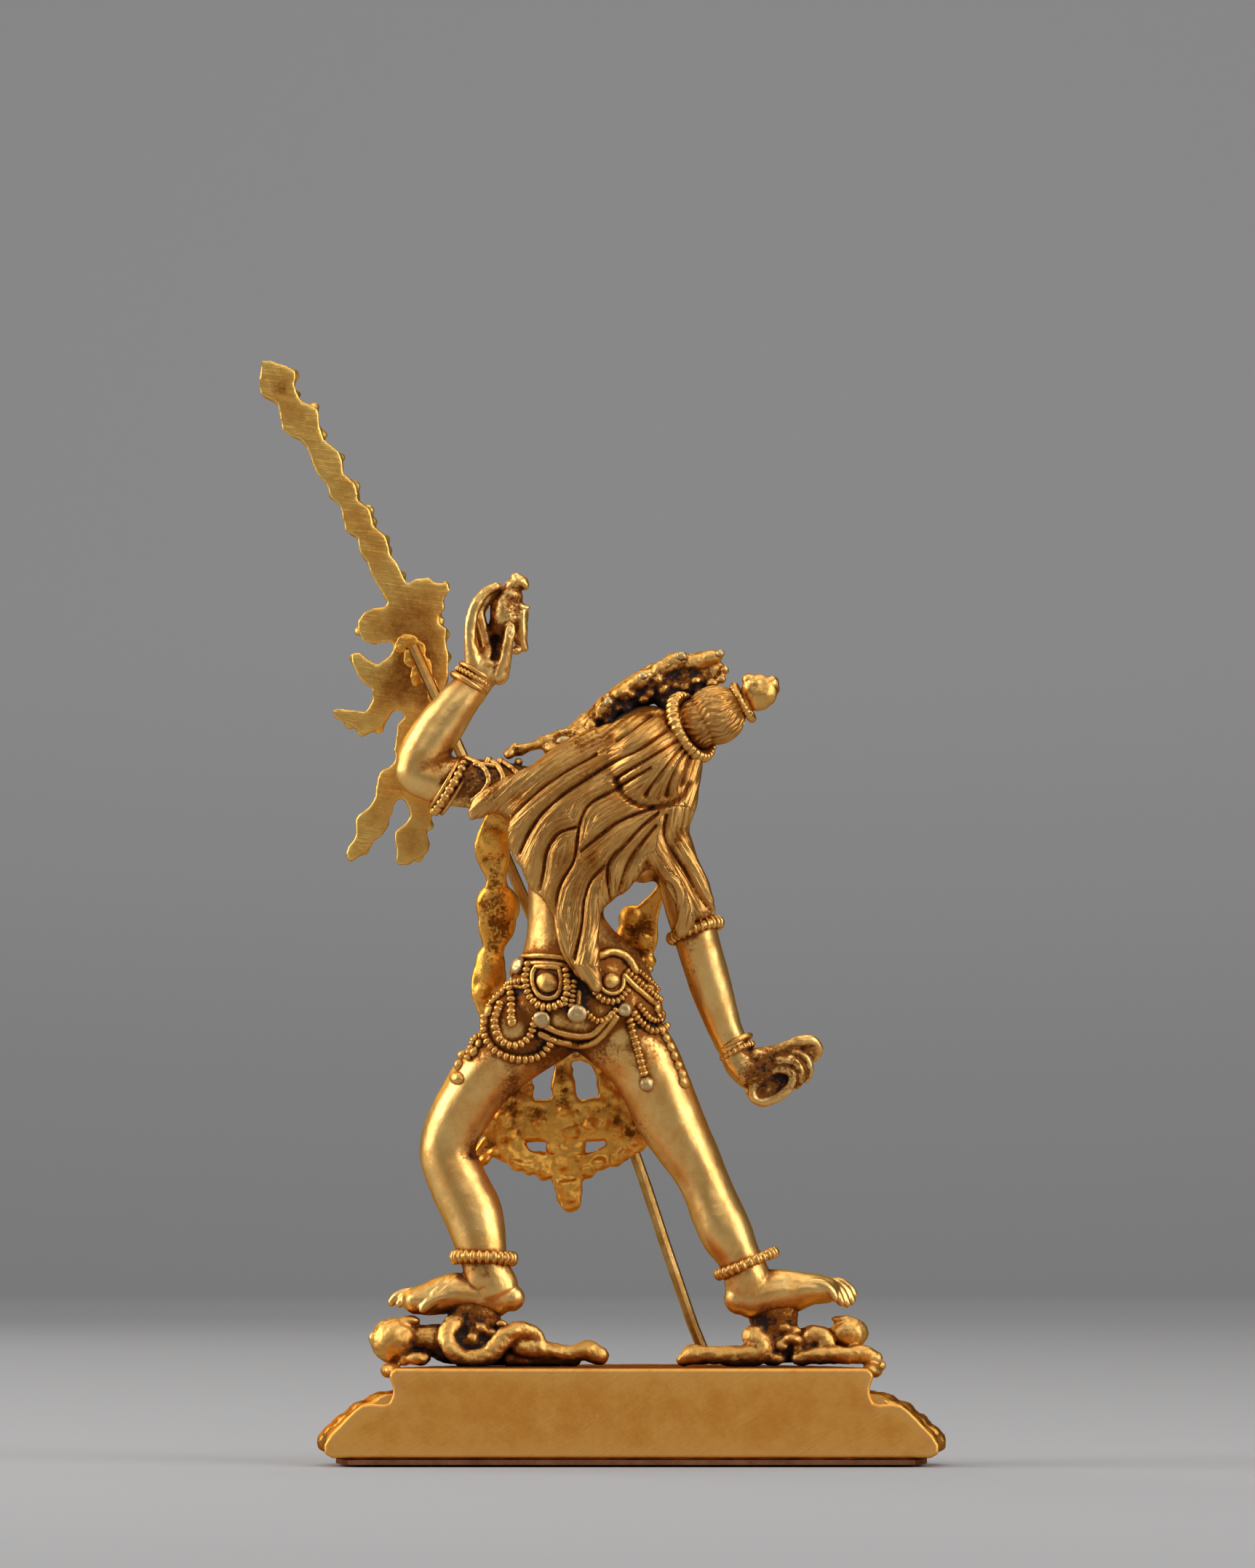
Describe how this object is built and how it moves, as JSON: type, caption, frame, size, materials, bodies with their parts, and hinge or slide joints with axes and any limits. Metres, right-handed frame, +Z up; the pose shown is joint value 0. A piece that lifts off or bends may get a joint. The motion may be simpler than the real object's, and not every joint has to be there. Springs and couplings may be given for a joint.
{
  "type": "vajrayogini statue",
  "caption": "Small gilt cast statue of a striding dancing goddess with flowing hair, cup, knife and ribboned staff, on a half-round lotus pedestal with a flat back.",
  "frame": {"origin": "middle of the underside of the base plate, under the figure", "axes": "+Z up, -Y out of the flat back of the pedestal, which is the side the picture shows, +Y the way the figure faces, +X towards the lowered arm"},
  "size_m": [0.0574, 0.028, 0.0925],
  "materials": {
    "copper_plate": "dull dark copper sheet",
    "gilt_pedestal": "fire gilt, brushed flat back, antiqued recesses",
    "gilt_figure": "fire gilt, polished high points, dark brown patina in recesses",
    "gilt_openwork": "fire gilt, rough as cast back",
    "gilt_staff_head": "fire gilt, filed flat back",
    "gilt_wire": "drawn wire, gilt"
  },
  "bodies": {
    "root": {"base_plate": "copper_plate", "pedestal": "gilt_pedestal", "dakini_figure": "gilt_figure", "garland_and_apron": "gilt_openwork", "staff_head": "gilt_staff_head", "staff_rod": "gilt_wire"}
  },
  "joints": []
}
